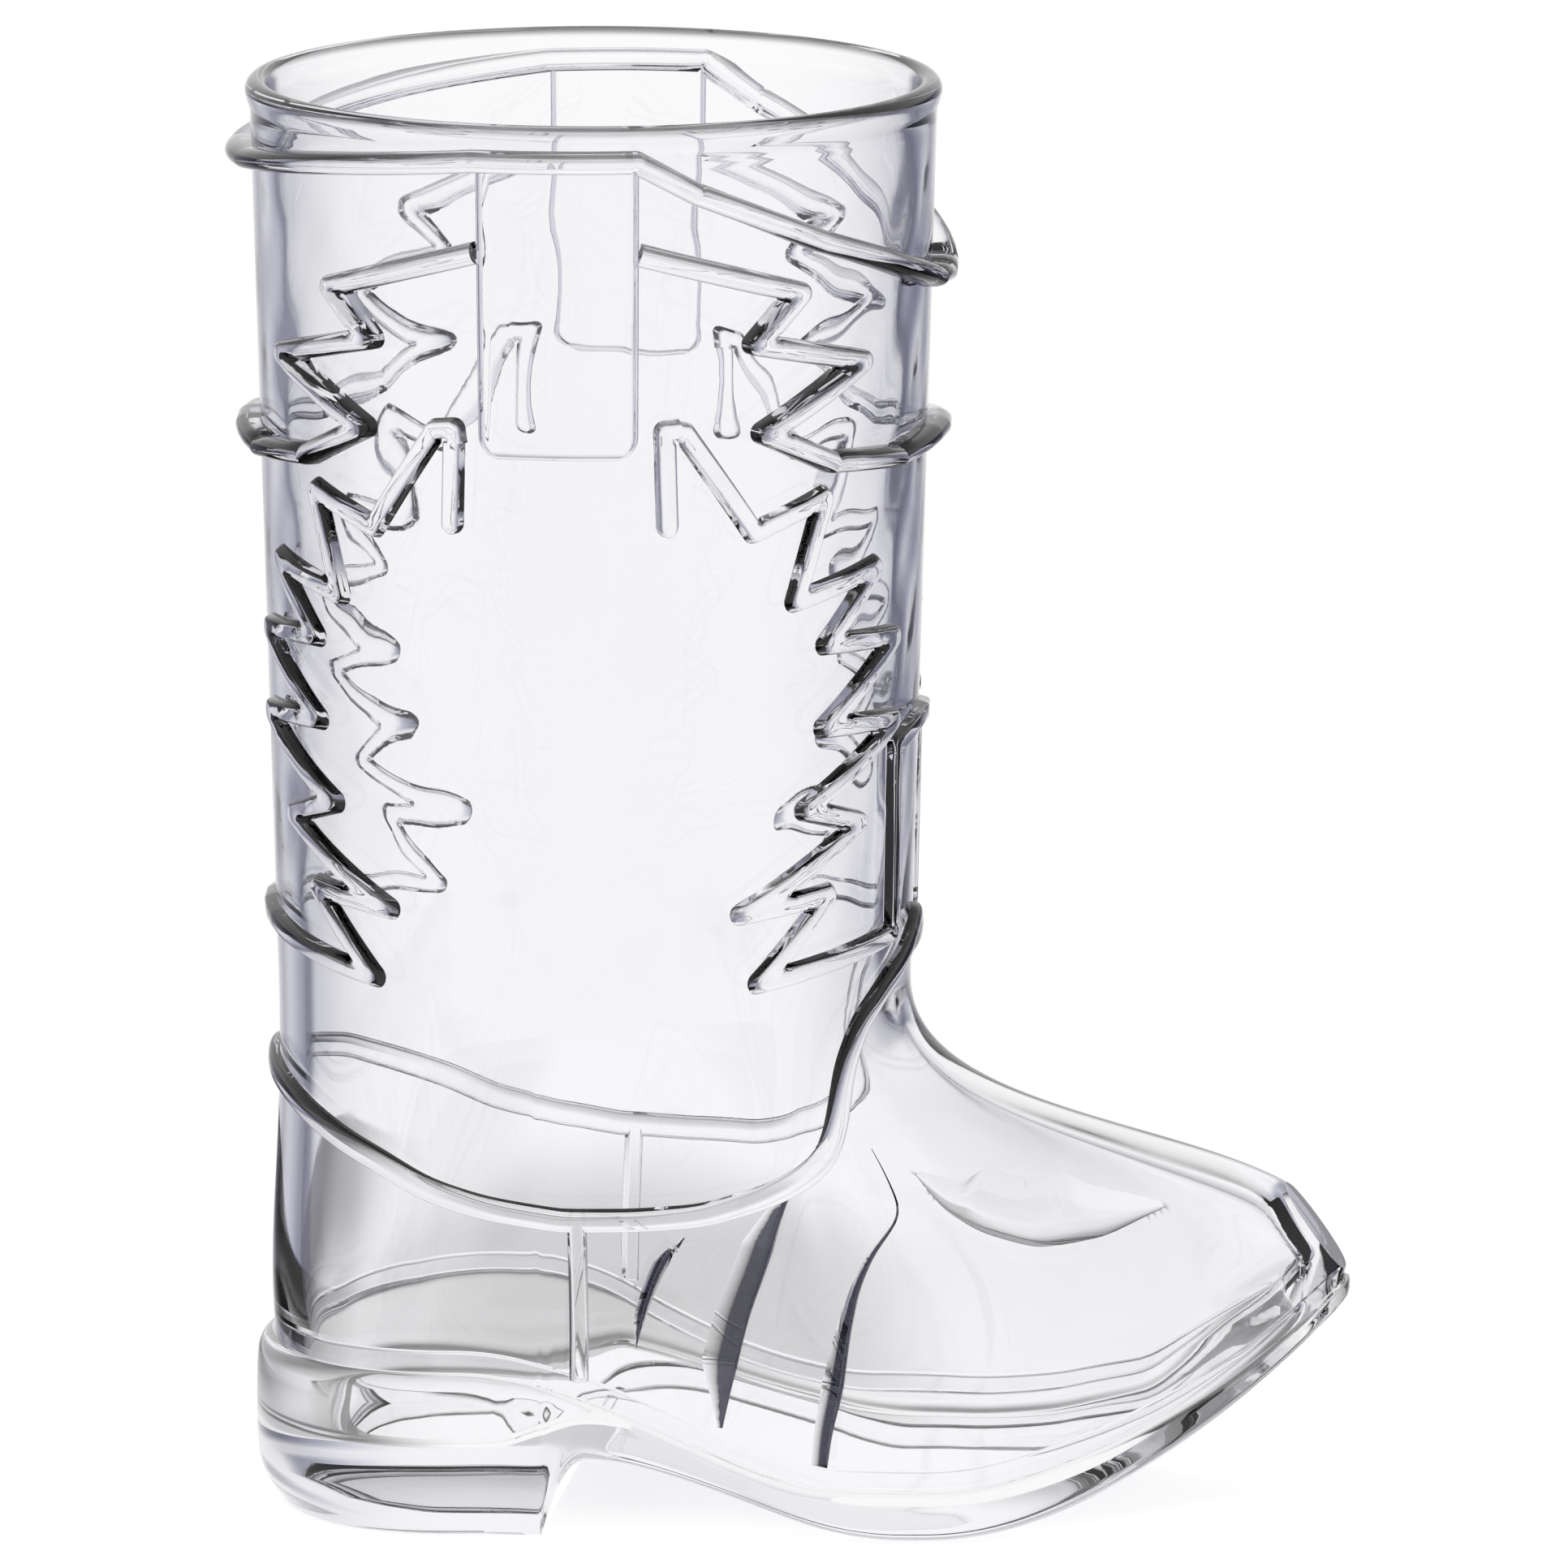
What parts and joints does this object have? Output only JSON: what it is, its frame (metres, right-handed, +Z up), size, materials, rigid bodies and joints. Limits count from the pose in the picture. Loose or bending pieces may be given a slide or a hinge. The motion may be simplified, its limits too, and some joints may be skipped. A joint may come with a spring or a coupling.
{
  "type": "boot-shaped drinking glass",
  "caption": "Clear plastic drinking glass in the shape of a tall western boot, with raised stitch bands, pull straps and a welded hollow sole and heel.",
  "frame": {"origin": "middle of the bounding box, on the table plane under the heel and the ball of the sole", "axes": "+X towards the toe, +Y towards the boot's left side, +Z up to the rim"},
  "size_m": [0.1199, 0.0782, 0.152],
  "materials": {
    "clear_upper": "polished clear moulding",
    "clear_sole": "polished clear moulding"
  },
  "bodies": {
    "root": {"boot_upper": "clear_upper", "heel_sole": "clear_sole"}
  },
  "joints": []
}
